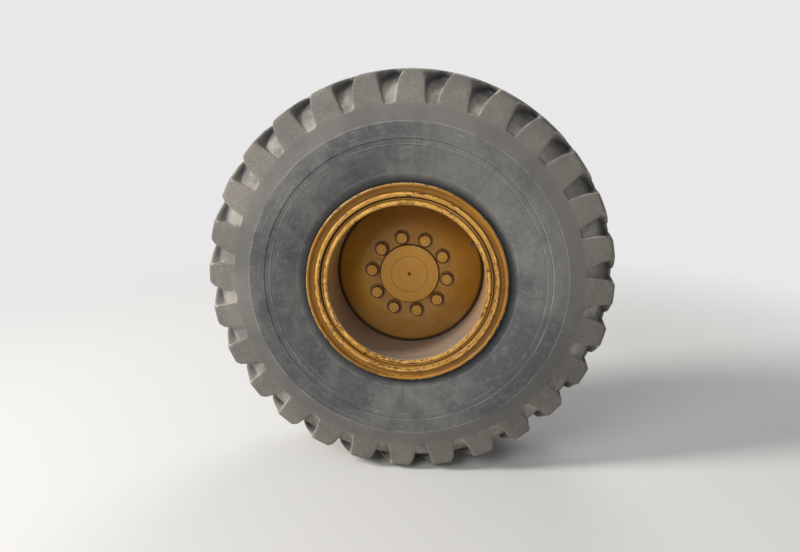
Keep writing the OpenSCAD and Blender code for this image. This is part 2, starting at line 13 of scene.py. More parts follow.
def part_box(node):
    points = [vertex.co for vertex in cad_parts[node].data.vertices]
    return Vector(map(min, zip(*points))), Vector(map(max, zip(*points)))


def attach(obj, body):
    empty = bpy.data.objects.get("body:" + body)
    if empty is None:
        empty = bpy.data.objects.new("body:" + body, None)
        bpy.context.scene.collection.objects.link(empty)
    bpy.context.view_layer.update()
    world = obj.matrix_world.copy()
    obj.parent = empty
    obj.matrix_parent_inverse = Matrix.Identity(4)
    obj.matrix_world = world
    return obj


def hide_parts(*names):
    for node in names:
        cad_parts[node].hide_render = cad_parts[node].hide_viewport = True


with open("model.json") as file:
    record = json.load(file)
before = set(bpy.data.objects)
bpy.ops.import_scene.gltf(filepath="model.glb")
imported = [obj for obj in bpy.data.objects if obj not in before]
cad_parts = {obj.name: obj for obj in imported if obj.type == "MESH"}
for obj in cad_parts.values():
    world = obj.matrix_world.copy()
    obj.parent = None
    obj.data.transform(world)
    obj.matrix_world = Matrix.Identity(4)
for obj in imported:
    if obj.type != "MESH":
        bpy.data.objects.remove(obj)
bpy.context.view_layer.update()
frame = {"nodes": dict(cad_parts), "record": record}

WHEEL = "wheel"
SPINDLE = "spindle"
MM = 0.001

# Camera of the photograph, placed from the outer edge of the rim's flange
IMAGE_W = 800
SENSOR_W = 36
FOCAL_PIXELS = 601
CAMERA_OFFSET = Vector((0.160, -2.055, 0.540))
CAMERA_YAW = radians(5.05)
CAMERA_PITCH = radians(-13.82)
CAMERA_ROLL = radians(0.38)

# Tyre, in metres. Reach is the distance from its middle along the axle. The tyre made here
# stays INSET inside the box of the solid.
INSET = 0.0002
TYRE_LOW, TYRE_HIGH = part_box("tyre")
TYRE_MID = (TYRE_LOW.y + TYRE_HIGH.y) / 2
TYRE_R = TYRE_HIGH.z - INSET
SIDE_HALF = (TYRE_HIGH.y - TYRE_LOW.y) / 2 - INSET

# Bead, and the flange that it leans on
SEAT_R = 0.3178
BEAD_W = 0.066
BEAD_TAPER = radians(5)
HEEL_CUT = 0.003
FLANGE_IN = 0.2157
FLANGE_EDGE = 0.2345
CURL_RISE = 0.0242
CURL_R = 0.0188

# Crown, shoulder, flank, and the thickness of the sidewall and the tread
CROWN_RISE = 0.018
TREAD_IN = 0.036
SHOULDER_R = 0.018
FLANK_H = 0.148
SIDEWALL_T = 0.024
TREAD_T = 0.056

# Lugs and grooves. The bed of a shoulder groove is a curve through radius and reach.
LUGS_N = 28
LUG_AT = radians(4.9)
HALF_PITCH = pi / LUGS_N
GROOVE_DEPTH = 0.026
BED_KNOTS = [(0.624, 0.2345), (0.670, 0.2225), (0.7095, 0.189), (0.7235, 0.088)]
BED_STEPS = 40

# Columns of the tyre's grid in one pitch, and the width in mm from which a groove has full lips
COLUMNS_N = 18
FULL_LIPS_W = 44

# Worked out from the sizes above
TREAD_R = TYRE_R - CROWN_RISE
LINER_R = TYRE_R - TREAD_T
BELLY_R = (SEAT_R + TYRE_R) / 2
SIDE_TOP_R = TREAD_R - SHOULDER_R
CREASE_R = SIDE_TOP_R - FLANK_H
SIDE_ARC_R = ((SIDE_TOP_R - BELLY_R) ** 2 + TREAD_IN**2) / (2 * TREAD_IN)
CROWN_HALF = SIDE_HALF - TREAD_IN - SHOULDER_R
CROWN_ARC_R = (CROWN_HALF**2 + CROWN_RISE**2) / (2 * CROWN_RISE)

# Radii of the marks on the tyre, from outside inwards, and its mould lines
LUG_FACE_R = 0.630
LUG_FOOT_R = 0.611
STEP_R = 0.510
RIB_R = 0.490
BEAD_RIB_R = 0.395
BEAD_SHADE_R = 0.364
MOULD_LINES_N = 7
MOULD_LINE_AT = 0.3

# Radii of the marks on the rim, the disc and the hub, from outside inwards
FLANGE_R = 0.3605
HOLLOW_R = 0.3400
FLANGE_FOOT_R = 0.330
BAND_SLOPE_R = 0.3285
BAND_RIDGE_R = 0.3245
LOCK_R = 0.3105
GUTTER_LIP_R = 0.3013
RIM_RIDGE_R = 0.2925
BARREL_R = 0.283
DISC_EDGE_R = 0.279
PILOT_R = 0.1115
SCRIBE_R = 0.0695
CENTRE_HOLE_R = 0.0085

# Nuts: their circle, and the radii of each one's end, flank, and grime and dust on the disc
NUTS_N = 10
NUT_AT = radians(29.3)
NUT_CIRCLE_R = 0.142875
NUT_END_R = 0.0186
NUT_FLANK_R = 0.0256
NUT_GRIME_R = 0.0308
NUT_DUST_R = 0.0345

# Place on the axle where the shaft's paint ends, and the painted length of a stud's outer end
SHAFT_PAINT_END = -0.346
STUD_PAINT_L = 0.012


# Helpers for meshes


def piece_from(mesh, name, body, slot, material, *replaced):
    """Makes a bmesh an object that rides on a body and stands for CAD nodes."""
    data = bpy.data.meshes.new(name)
    mesh.to_mesh(data)
    mesh.free()
    piece = bpy.data.objects.new(name, data)
    bpy.context.scene.collection.objects.link(piece)
    data.materials.append(material)
    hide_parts(*replaced)
    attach(piece, body)


def smooth_copy(node, body, slot, material):
    """Stands for a CAD node with the same surface, its seams merged and its round faces smooth."""
    seam_gap = 0.00002
    sharp_from = radians(32)
    mesh = bmesh.new()
    mesh.from_mesh(frame["nodes"][node].data)
    bmesh.ops.remove_doubles(mesh, verts=mesh.verts, dist=seam_gap)
    for face in mesh.faces:
        face.smooth = True
    for edge in mesh.edges:
        edge.smooth = edge.is_manifold and edge.calc_face_angle(pi) < sharp_from
    piece_from(mesh, node + "_finish", body, slot, material, node)


# Surface of the tyre: each function gives a point as radius and reach


def side(radius, out=0.0):
    """Sidewall at a radius, raised by out: an arc, and a straight flank above it."""
    angle = acos((min(radius, CREASE_R) - BELLY_R) / SIDE_ARC_R)
    centre = Vector((BELLY_R, SIDE_HALF - SIDE_ARC_R))
    point = centre + (SIDE_ARC_R + out) * Vector((cos(angle), sin(angle)))
    if radius > CREASE_R:
        top = Vector((SIDE_TOP_R, CROWN_HALF + SHOULDER_R + out))
        point = point.lerp(top, (radius - CREASE_R) / (SIDE_TOP_R - CREASE_R))
    return point


def inner_face(radius):
    """Inner face of the sidewall at a radius."""
    return side(radius, -SIDEWALL_T)


def shoulder(angle):
    """Round corner of the shoulder at an angle in degrees."""
    turn = radians(angle)
    return Vector((SIDE_TOP_R, CROWN_HALF)) + SHOULDER_R * Vector((cos(turn), sin(turn)))


def crown(reach):
    """Tread at a distance from its middle."""
    return Vector((TYRE_R - CROWN_ARC_R + sqrt(CROWN_ARC_R**2 - reach**2), reach))


def curl(angle):
    """Bead where it leans on the flange, at an angle in degrees."""
    turn = radians(angle)
    return Vector((SEAT_R + CURL_RISE, FLANGE_EDGE)) + CURL_R * Vector((cos(turn), sin(turn)))


def fixed(point):
    """A point that is given as it is."""
    return Vector(point)


bed_points = interpolate_bezier(*[Vector(knot).to_3d() for knot in BED_KNOTS], BED_STEPS + 1)


def shoulder_bed(share):
    """Bed of a shoulder groove, from its lower end to its end on the tread."""
    return bed_points[round(share * BED_STEPS)].to_2d()


# Rings of the tyre's grid


# A ring: the surface that it lies on and where, the walls of its groove in mm, the share of the
# bed that it crosses, how far it dips as a whole, how far in mm it sways with the zigzag, and
# whether its groove lies half a pitch on
Ring = namedtuple("Ring", "surface at walls bed dip sway turned",
                  defaults=(None, None, 0.0, 0.0, False))

# Steps from a lug into a groove: distance in mm past the lug's edge, share of the depth
LIP = [(-7, 0), (-1.6, 0.02), (0, 0.1), (1.8, 0.55), (3.6, 0.93), (8, 1)]
WORN_LIP = [(-11, 0), (-5, 0.06), (0, 0.2), (2.4, 0.6), (4.2, 0.93), (9, 1)]

# Half of a narrow groove round the tread: distance in mm from its middle, share of the depth
NARROW_GROOVE = [(3.5, 0.93), (5, 0.55), (6.5, 0.1), (8.5, 0.02), (13, 0)]

# Reach of the outer narrow grooves, and the sway of the middle one and of the outer ones, in mm
OUTER_NARROW_AT = 91
MIDDLE_SWAY = 7
OUTER_SWAY = 6

# The outer narrow grooves step more steeply than a wave, and their steps lie shifted by a phase
OUTER_STEEPNESS = 1.8
OUTER_PHASE = 0.6

# Walls in mm of the slots between the middle blocks and of the shoulder grooves' inner ends
SLOT_WALLS = (-13, 11)
END_WALLS = (-55, -22)


def tread_rings():
    """Rings from the middle narrow groove, over the outer one, to the shoulder."""
    rings = [Ring(crown, 0, dip=1, sway=MIDDLE_SWAY, turned=True)]
    rings += [Ring(crown, away * MM, SLOT_WALLS, dip=dip, sway=MIDDLE_SWAY, turned=True)
              for away, dip in NARROW_GROOVE]
    rings += [Ring(crown, reach * MM, SLOT_WALLS, sway=sway, turned=True)
              for reach, sway in [(26, 4), (38, 1), (52, 1), (65, 4)]]
    rings += [Ring(crown, (OUTER_NARROW_AT - away) * MM, SLOT_WALLS, dip=dip, sway=OUTER_SWAY,
                   turned=True) for away, dip in reversed(NARROW_GROOVE)]
    rings += [Ring(crown, OUTER_NARROW_AT * MM, bed=1, dip=1, sway=OUTER_SWAY)]
    rings += [Ring(crown, (OUTER_NARROW_AT + away) * MM, END_WALLS, 1, dip, OUTER_SWAY)
              for away, dip in NARROW_GROOVE]
    # Reach, clockwise and anticlockwise wall, share of the bed, sway
    rings += [Ring(crown, reach * MM, (low, high), bed, sway=sway)
              for reach, low, high, bed, sway in [
                  (118, -55, -20, 0.93, 3), (134, -55, -15, 0.87, 1), (150, -54, -7, 0.81, 0),
                  (166, -54, 4, 0.75, 0), (181, -53, 16, 0.70, 0), (194, -52, 26, 0.66, 0)]]
    return rings


def shoulder_rings():
    """Rings round the shoulder and down the flank to the rounded lower ends of the grooves."""
    # Angle in degrees, clockwise and anticlockwise wall, share of the bed
    rings = [Ring(shoulder, angle, (low, high), bed) for angle, low, high, bed in [
        (8, -51, 30, 0.63), (28, -50, 32, 0.61), (50, -48, 34, 0.59), (74, -45, 35, 0.57)]]
    # Radius, clockwise and anticlockwise wall, share of the bed
    rings += [Ring(side, radius * MM, (low, high), bed) for radius, low, high, bed in [
        (709, -43, 35, 0.56), (700, -39.5, 34.5, 0.52), (689, -36, 33.5, 0.46),
        (676, -33, 32, 0.39), (663, -30.5, 30.5, 0.31), (650, -28.5, 28.5, 0.22),
        (639, -26.5, 26.5, 0.13), (632, -25, 25.5, 0.07)]]
    # Rounded end: radius, half width, share of the depth that is left
    rings += [Ring(side, radius * MM, (-half, half), 0, share - 1) for radius, half, share in [
        (627.5, 24, 1), (624.6, 22, 0.7), (622.8, 19, 0.15), (621.2, 15, 0.02), (616, 14, 0)]]
    return rings


def sidewall_rings():
    """Rings down the sidewall, with its crease and a low step that faces the rim."""
    # Radius and rise in mm
    return [Ring(lambda at, out=rise: side(at, out * MM), radius * MM) for radius, rise in [
        (606, 0), (594, 0), (583, 0), (573, 0), (565, 0), (563.8, 0), (562.2, -0.2),
        (560, -0.2), (550, 0), (538, 0), (525, 0), (514, 0), (511.4, 0), (510.6, -0.3),
        (509.4, -1.9), (508.4, -2.2), (504, -2.2), (496, -2.2), (484, -2.2), (468, -2.2),
        (452, -2.2), (436, -2.2), (420, -2.2), (404, -2.2), (390, -1.8), (379, -1.1),
        (371, -0.3)]]


def inner_rings():
    """Rings round the bead, up the inner face of the sidewall and along the liner."""
    rings = [Ring(curl, angle) for angle in (-20, -45, -68, -90)]
    toe_r = SEAT_R - BEAD_W * tan(BEAD_TAPER)
    toe = FLANGE_IN - BEAD_W
    rings += [Ring(fixed, point) for point in [
        (SEAT_R + HEEL_CUT, FLANGE_IN), (SEAT_R, FLANGE_IN - HEEL_CUT), (toe_r, toe),
        (SEAT_R + 8 * MM, toe + 2 * MM), (SEAT_R + 28 * MM, toe + 26 * MM)]]
    rings += [Ring(inner_face, radius * MM) for radius in (400, 470, 550, 620)]
    rings += [Ring(fixed, (LINER_R - drop * MM, reach * MM))
              for drop, reach in [(18, 168), (5, 120), (0, 60)]]
    return rings


# Tyre


def columns(walls, lip=LIP):
    """Angle and depth share of each column of a ring, over one pitch."""
    if walls is None:
        return [(HALF_PITCH * (2 * k / COLUMNS_N - 1), 0.0) for k in range(COLUMNS_N)]
    low, high = (wall * MM / TYRE_R for wall in walls)
    ease = min(1, (walls[1] - walls[0]) / FULL_LIPS_W) * MM / TYRE_R
    left = [(low + step * ease, share) for step, share in lip]
    right = [(high - step * ease, share) for step, share in reversed(lip)]
    first, last = left[0][0], right[-1][0]
    lug_left = [(-HALF_PITCH + k / 3 * (first + HALF_PITCH), 0.0) for k in range(3)]
    lug_right = [(last + k / 3 * (HALF_PITCH - last), 0.0) for k in (1, 2)]
    return lug_left + left + [((low + high) / 2, 1.0)] + right + lug_right


def wrapped(angle):
    """Angle brought back into one pitch."""
    return round((angle + HALF_PITCH) % (2 * HALF_PITCH) - HALF_PITCH, 9)


def zigzag(angle, in_middle):
    """Sideways step of the narrow grooves: a wave in the middle, steps with flats further out."""
    if in_middle:
        return cos(LUGS_N * angle)
    return max(-1, min(1, OUTER_STEEPNESS * sin(LUGS_N * angle + OUTER_PHASE)))


def ring_points(item, other_side):
    """Angle, radius, reach and depth share of each vertex of a ring."""
    made = []
    in_middle = item.surface is crown and item.at < OUTER_NARROW_AT / 2 * MM
    lip = WORN_LIP if item.surface in (crown, shoulder) else LIP
    for angle, share in columns(item.walls, lip):
        place = wrapped(angle + HALF_PITCH) if item.turned else angle
        sway = item.sway * MM * zigzag(place, in_middle) if item.sway else 0
        top = item.surface(item.at + sway) if item.sway else item.surface(item.at)
        bed = top - Vector((GROOVE_DEPTH, 0)) if item.bed is None else shoulder_bed(item.bed)
        if item.dip < 0:
            deep = share * (1 + item.dip)
        else:
            deep = 1 - (1 - share) * (1 - item.dip)
        point = top.lerp(bed, deep) if item.walls or item.dip else top
        if other_side:
            place = wrapped(HALF_PITCH - place)
        made.append((place, point.x, -point.y if other_side else point.y, deep))
    made.sort()
    return made


def tyre(material):
    """One pitch of the tyre as a grid from bead to bead, repeated round the axle."""
    half = tread_rings() + shoulder_rings() + sidewall_rings() + inner_rings()
    rings = [ring_points(item, False) for item in half]
    rings.append([(angle, LINER_R, 0.0, 0.0) for angle, _ in columns(None)])
    rings += [ring_points(item, True) for item in reversed(half)]
    last_ring = len(rings) - 1
    mesh = bmesh.new()
    bmesh.ops.create_grid(mesh, x_segments=COLUMNS_N, y_segments=last_ring, size=1)
    groove = mesh.verts.layers.float.new("groove")
    for vert in mesh.verts:
        across = round((vert.co.x + 1) / 2 * COLUMNS_N)
        along = round((vert.co.y + 1) / 2 * last_ring)
        angle, radius, reach, deep = rings[along][across % COLUMNS_N]
        angle += LUG_AT + 2 * HALF_PITCH * (across // COLUMNS_N)
        vert.co = (radius * cos(angle), TYRE_MID - reach, radius * sin(angle))
        vert[groove] = deep
    bmesh.ops.spin(mesh, geom=mesh.verts[:] + mesh.edges[:] + mesh.faces[:], cent=(0, 0, 0),
                   axis=(0, 1, 0), dvec=(0, 0, 0), steps=LUGS_N - 1,
                   angle=2 * HALF_PITCH * (LUGS_N - 1), use_duplicate=True)
    bmesh.ops.remove_doubles(mesh, verts=mesh.verts, dist=0.05 * MM)
    bmesh.ops.recalc_face_normals(mesh, faces=mesh.faces)
    for face in mesh.faces:
        face.smooth = True
    piece_from(mesh, "lugged_tyre", WHEEL, "tyre", material, "tyre")


# Helpers for materials


def tint(red, green, blue):
    """Linear colour of an sRGB colour given in 0 to 255."""
    def linear(value):
        value /= 255
        return value / 12.92 if value <= 0.04045 else ((value + 0.055) / 1.055) ** 2.4
    return (linear(red), linear(green), linear(blue), 1)


class Finish:
    """A material laid on in coats, with short calls for the nodes that the finishes share.

    Its colour is what the coats have made so far, and its cloud is the noise that breaks up the
    marks."""

    def __init__(self, name):
        self.material = bpy.data.materials.new(name)
        self.material.use_nodes = True
        self.tree = self.material.node_tree
        self.shader = self.tree.nodes["Principled BSDF"]
        self.colour = None
        self.cloud = None
        self.place = self.node("ShaderNodeTexCoord").outputs["Object"]
        parts = self.node("ShaderNodeSeparateXYZ", {"Vector": self.place})
        self.across, self.along, self.up = (parts.outputs[axis] for axis in "XYZ")
        spoke = self.node("ShaderNodeCombineXYZ", {"X": self.across, "Z": self.up}).outputs[0]
        self.radius = self.node("ShaderNodeVectorMath", {0: spoke},
                                operation="LENGTH").outputs["Value"]
        self.turn = self.maths("ARCTAN2", self.up, self.across)

    def node(self, kind, inputs=(), **settings):
        """Makes a node with its settings, and puts values or links into its inputs."""
        made = self.tree.nodes.new(kind)
        for key, value in settings.items():
            setattr(made, key, value)
        for key, value in dict(inputs).items():
            self.put(value, made.inputs[key])
        return made

    def put(self, value, socket):
        """Links a value to a socket, or sets it there when it is constant."""
        if isinstance(value, bpy.types.NodeSocket):
            self.tree.links.new(value, socket)
        else:
            socket.default_value = value

    def maths(self, operation, *values):
        """Result of one operation on its values."""
        made = self.node("ShaderNodeMath", operation=operation)
        for value, socket in zip(values, made.inputs):
            self.put(value, socket)
        return made.outputs[0]

    def times(self, first, *others):
        """Product of values."""
        for other in others:
            first = self.maths("MULTIPLY", first, other)
        return first

    def most(self, first, *others):
        """Greatest of values."""
        for other in others:
            first = self.maths("MAXIMUM", first, other)
        return first

    def summed(self, *rows):
        """Sum of values, each row a value and its weight."""
        total = 0.0
        for value, weight in rows:
            total = self.maths("MULTIPLY_ADD", value, weight, total)
        return total

    def grain(self, scale, detail=3, roughness=0.55, place=None):
        """Noise, its scale in steps to a metre."""
        made = self.node("ShaderNodeTexNoise", {
            "Vector": place or self.place, "Scale": scale, "Detail": detail,
            "Roughness": roughness})
        return made.outputs["Fac"]

    def swept(self, turns, across, detail=3, roughness=0.55):
        """Noise drawn out round the axle: steps in a radian, and steps in a metre across."""
        east = self.maths("DIVIDE", self.across, self.radius)
        north = self.maths("DIVIDE", self.up, self.radius)
        place = self.node("ShaderNodeCombineXYZ", {
            "X": self.times(east, turns),
            "Y": self.maths("ADD", self.times(north, turns), self.times(self.along, across)),
            "Z": self.times(self.radius, across)}).outputs[0]
        return self.grain(1, detail, roughness, place)

    def spread(self, value, low, high, to_low=0.0, to_high=1.0):
        """Eases from one share to another while a value goes from low to high."""
        made = self.node("ShaderNodeMapRange", {
            "Value": value, "From Min": low, "From Max": high, "To Min": to_low,
            "To Max": to_high}, interpolation_type="SMOOTHSTEP")
        return made.outputs["Result"]

    def band(self, value, middle, half, soft):
        """1 near a value, 0 away from it."""
        away = self.maths("ABSOLUTE", self.maths("SUBTRACT", value, middle))
        return self.spread(away, half + soft, half)

    def line(self, radius, half, soft):
        """A line round the axle at a radius, its half width and its soft edge."""
        return self.band(self.radius, radius, half, soft)

    def from_nut(self):
        """Distance from the middle of the nearest nut."""
        turn = self.maths("PINGPONG", self.maths("SUBTRACT", self.turn, NUT_AT), pi / NUTS_N)
        reach = self.times(self.maths("COSINE", turn), self.radius, 2 * NUT_CIRCLE_R)
        squares = self.maths("ADD", self.times(self.radius, self.radius), NUT_CIRCLE_R**2)
        return self.maths("SQRT", self.maths("SUBTRACT", squares, reach))

    def blend(self, share, first, second):
        """Goes from the first colour to the second as share goes from 0 to 1."""
        made = self.node("ShaderNodeMix", data_type="RGBA")
        for value, index in ((share, 0), (first, 6), (second, 7)):
            self.put(value, made.inputs[index])
        return made.outputs[2]

    def coat(self, share, tone):
        """Lays a tone over the colour so far, as thick as share says."""
        self.colour = self.blend(share, self.colour, tone)

    def bump(self, height, strength, distance):
        """Roughens the surface by a height, where 1 is a distance in metres."""
        made = self.node("ShaderNodeBump", {"Height": height, "Strength": strength,
                                            "Distance": distance})
        self.put(made.outputs["Normal"], self.shader.inputs["Normal"])

    def finish(self, roughness, metallic=0.0, specular=0.5):
        """Ends the material: its colour so far, and how it shines."""
        self.shader.inputs["Specular IOR Level"].default_value = specular
        self.put(self.colour, self.shader.inputs["Base Color"])
        self.put(roughness, self.shader.inputs["Roughness"])
        self.put(metallic, self.shader.inputs["Metallic"])
        return self.material


# Rubber

# Tones of the painted highlights and painted shade on the sidewall's lines
RUBBER_HIGHLIGHT = tint(150, 147, 141)
RUBBER_SHADE = tint(58, 58, 60)


def sidewall_coats(look, dust, fine, arcs):
    """Dusty sidewall with blotches, drawn-out arcs and rays, and short scuffs."""
    look.colour = look.blend(look.spread(dust, 0.40, 0.62), tint(82, 83, 85), tint(112, 111, 108))
    blotch = look.summed((look.grain(34, 4, 0.7), 0.6), (fine, 0.4))
    look.coat(look.spread(blotch, 0.50, 0.62, 0, 0.22), tint(138, 135, 128))
    look.coat(look.spread(blotch, 0.48, 0.38, 0, 0.20), tint(72, 73, 75))
    look.coat(look.spread(arcs, 0.58, 0.74, 0, 0.35), tint(140, 137, 130))
    rays = look.swept(26, 4, 4, 0.65)
    look.coat(look.spread(rays, 0.54, 0.74, 0, 0.30), tint(70, 71, 74))
    scuffs = look.times(look.spread(look.swept(13, 230, 2, 0.5), 0.62, 0.72),
                        look.spread(look.grain(6, 2), 0.48, 0.60), 0.5)
    look.coat(scuffs, tint(152, 149, 142))


def lug_coats(look, dust, fine):
    """Flank above the crease, then the lugs with their pits."""
    flank = look.blend(look.spread(dust, 0.40, 0.62), tint(102, 100, 97), tint(118, 115, 110))
    look.coat(look.spread(look.radius, CREASE_R - MM, CREASE_R + MM), flank)
    lugs = look.blend(look.spread(dust, 0.38, 0.64), tint(106, 103, 98), tint(130, 125, 117))
    lugs = look.blend(look.spread(fine, 0.54, 0.68, 0, 0.5), lugs, tint(80, 78, 75))
    lugs = look.blend(look.spread(fine, 0.44, 0.30, 0, 0.4), lugs, tint(154, 149, 141))
    look.coat(look.spread(look.radius, LUG_FOOT_R, LUG_FACE_R), lugs)


def sidewall_lines(look):
    """Painted shade on the bead, at the low step's foot and just inward of the outer rib; painted
    highlights on the step's edge, the rounded crease and two fine ribs.
    """
    # Painted shade on the bead beside the flange
    look.coat(look.spread(look.radius, BEAD_SHADE_R + 0.032, BEAD_SHADE_R, 0, 0.85),
              tint(36, 37, 40))
    # Painted shade at the foot of the low step
    look.coat(look.times(look.line(STEP_R - 0.0016, 0.0008, 0.0014), 0.5), RUBBER_SHADE)
    # Painted highlight on the low step's edge, broken by noise
    edge = look.times(look.line(STEP_R + 0.0016, 0.0006, 0.0012),
                      look.spread(look.cloud, 0.35, 0.6))
    look.coat(look.times(edge, 0.4), tint(160, 157, 150))
    # Painted highlights on the crease and the two fine ribs, painted shade just inward of the
    # outer rib
    # Radius, half width, soft edge, thickness, tone
    for radius, half, soft, share, tone in [
            (CREASE_R + 0.0015, 0.0008, 0.0022, 0.5, RUBBER_HIGHLIGHT),
            (RIB_R, 0.0007, 0.0012, 0.5, RUBBER_HIGHLIGHT),
            (RIB_R - 0.0026, 0.0007, 0.0012, 0.5, RUBBER_SHADE),
            (BEAD_RIB_R, 0.0006, 0.0010, 0.55, tint(134, 132, 127))]:
        broken = look.times(look.line(radius, half, soft), look.spread(look.cloud, 0.34, 0.56))
        look.coat(look.times(broken, share), tone)


def mould_lines(look):
    """Fine lines out from the axle where the parts of the mould met. Returns them for the bump."""
    turn = look.maths("ADD", look.turn, MOULD_LINE_AT)
    away = look.times(look.maths("PINGPONG", turn, pi / MOULD_LINES_N), look.radius)
    seam = look.times(look.spread(away, 0.0014, 0.0004), look.spread(look.radius, 0.40, 0.44),
                      look.spread(look.radius, 0.612, 0.600),
                      look.spread(look.cloud, 0.42, 0.56))
    look.coat(look.times(seam, 0.5), tint(62, 62, 64))
    return seam


def groove_coats(look):
    """Painted highlights on the grooves' lips, broken by noise, and the grooves' beds with painted
    shade towards the tread's middle.
    """
    depth = look.node("ShaderNodeAttribute", attribute_name="groove").outputs["Fac"]
    # Painted highlight along the grooves' lips
    lip = look.times(look.spread(depth, 0.01, 0.06), look.spread(depth, 0.3, 0.12),
                     look.spread(look.cloud, 0.38, 0.60))
    look.coat(look.times(lip, 0.6), tint(192, 186, 176))
    bed = look.blend(look.spread(look.cloud, 0.40, 0.62), tint(116, 112, 107),
                     tint(152, 147, 138))
    # Painted shade on the beds, darker towards the tread's middle
    reach = look.maths("ABSOLUTE", look.maths("SUBTRACT", look.along, TYRE_MID))
    bed = look.blend(look.spread(reach, 0.215, 0.150), bed, tint(74, 73, 74))
    look.coat(look.spread(depth, 0.25, 0.8), bed)


def dusty_rubber():
    """Worn tyre rubber, from the sidewall outwards, with its lines and its grooves last."""
    look = Finish("dusty_rubber")
    look.cloud = look.grain(12, 5, 0.65)
    fine = look.grain(120, 4, 0.7)
    arcs = look.swept(1.4, 130, 4, 0.65)
    dust = look.summed((look.grain(2.2, 3, 0.5), 0.6), (look.cloud, 0.4))
    sidewall_coats(look, dust, fine, arcs)
    lug_coats(look, dust, fine)
    sidewall_lines(look)
    seam = mould_lines(look)
    groove_coats(look)
    look.bump(look.summed((fine, 0.5), (arcs, 0.4), (seam, 0.8)), 0.35, 0.0012)
    return look.finish(look.spread(dust, 0.40, 0.62, 0.72, 0.92), 0.0, 0.15)


# Paint

OCHRE_DARK = tint(144, 98, 26)
OCHRE = tint(166, 114, 34)
OCHRE_LIGHT = tint(178, 126, 46)
OCHRE_PALE = tint(194, 144, 62)
DISC_DARK = tint(146, 100, 24)
DISC_LIGHT = tint(166, 116, 34)
HUB_DARK = tint(176, 124, 44)
HUB_LIGHT = tint(188, 138, 58)
# Painted highlight on the rings' ridges
PAINT_HIGHLIGHT = tint(232, 180, 94)
GRIME = tint(50, 34, 22)


def chipped(look, fine, rows):
    """Rust where the paint is chipped: a row is a radius, half its width and how much of it.

    Returns where the paint is gone."""
    # Flakes run along the turn, in clusters, and lie denser on the lower half
    lower = look.spread(look.up, 0.20, -0.25, 0.0, 0.055)
    flakes = look.summed((look.swept(22, 170, 3, 0.5), 1), (look.grain(5, 2), 0.6), (lower, 1))
    shares = []
    for radius, half, amount in rows:
        edge = look.line(radius, half * 0.6, half * 0.8)
        shares.append(look.spread(look.times(flakes, edge), 1 - amount, 1.008 - amount))
    gone = look.most(*shares)
    rust = look.blend(look.spread(fine, 0.4, 0.6), tint(54, 34, 34), tint(98, 64, 48))
    look.coat(look.times(gone, 0.92), rust)
    return gone


def ochre_paint(name, base, light, dust, marks, chips=()):
    """Sun-worn ochre paint with dust and specks, the marks of a piece, and chips."""
    look = Finish(name)
    look.cloud = look.grain(22, 4, 0.6)
    wide = look.grain(3.1, 4)
    fine = look.grain(110, 4, 0.65)
    look.colour = look.blend(look.spread(wide, 0.36, 0.64), base, light)
    look.coat(look.times(look.spread(look.cloud, 0.40, 0.68), dust), tint(168, 128, 70))
    look.coat(look.spread(look.grain(230, 2), 0.72, 0.75, 0, 0.8), GRIME)
    marks(look)
    height = look.times(fine, 0.3)
    if chips:
        height = look.maths("SUBTRACT", height, chipped(look, fine, chips))
    look.bump(height, 0.25, 0.0006)
    return look.finish(look.spread(wide, 0.3, 0.7, 0.38, 0.52), 0.0, 0.3)


def flange_marks(look):
    """Painted shade in the hollow, grime beside the bead seat band, and a whitish outer edge that
    is worn and has a painted highlight.
    """
    # Painted shade in the flange's hollow
    look.coat(look.times(look.line(HOLLOW_R, 0.0035, 0.0060), 0.35), tint(112, 74, 26))
    foot = look.spread(look.radius, FLANGE_FOOT_R + 0.004, FLANGE_FOOT_R + 0.001, 0, 0.7)
    look.coat(foot, GRIME)
    # Whitish outer edge: wear, and a painted highlight
    worn = look.times(look.spread(look.radius, FLANGE_R - 0.0040, FLANGE_R - 0.0015),
                      look.spread(look.grain(9, 4, 0.7), 0.40, 0.56))
    look.coat(look.times(worn, 0.65), tint(212, 184, 142))


def highlit_ridge(look, radius, half, soft):
    """Painted highlight along the ridge of a ring, broken by noise."""
    ridge = look.line(radius, half, soft)
    look.coat(look.times(ridge, look.spread(look.cloud, 0.38, 0.60), 0.8), PAINT_HIGHLIGHT)


def ring_marks(look):
    """Painted highlight on the band's ridge, painted shade on its slope up to the flange, and dark
    joints beside it and beside the lock ring, darker towards the top.
    """
    highlit_ridge(look, BAND_RIDGE_R, 0.0014, 0.0026)
    # Painted shade on the band's slope up to the flange
    look.coat(look.spread(look.radius, BAND_SLOPE_R - 0.0023, BAND_SLOPE_R, 0, 0.7), OCHRE_DARK)
    joints = look.most(look.line(LOCK_R, 0.0030, 0.0020), look.line(GUTTER_LIP_R, 0.0012, 0.0016))
    # The joints are darker towards the top
    top_heavy = look.spread(look.up, 0.10, -0.24, 0.9, 0.45)
    look.coat(look.times(joints, top_heavy), GRIME)


def rim_marks(look):
    """Painted highlight on the lip, and a film of grey dust in the barrel that lies thickest at
    the bottom.
    """
    highlit_ridge(look, RIM_RIDGE_R, 0.0026, 0.0034)
    inside = look.spread(look.radius, BARREL_R + 0.0025, BARREL_R + 0.0005)
    film = look.maths("ADD", look.spread(look.up, 0.10, -0.24, 0.36, 0.88),
                      look.spread(look.cloud, 0.3, 0.7, -0.10, 0.10))
    look.coat(look.times(inside, film), tint(126, 115, 107))


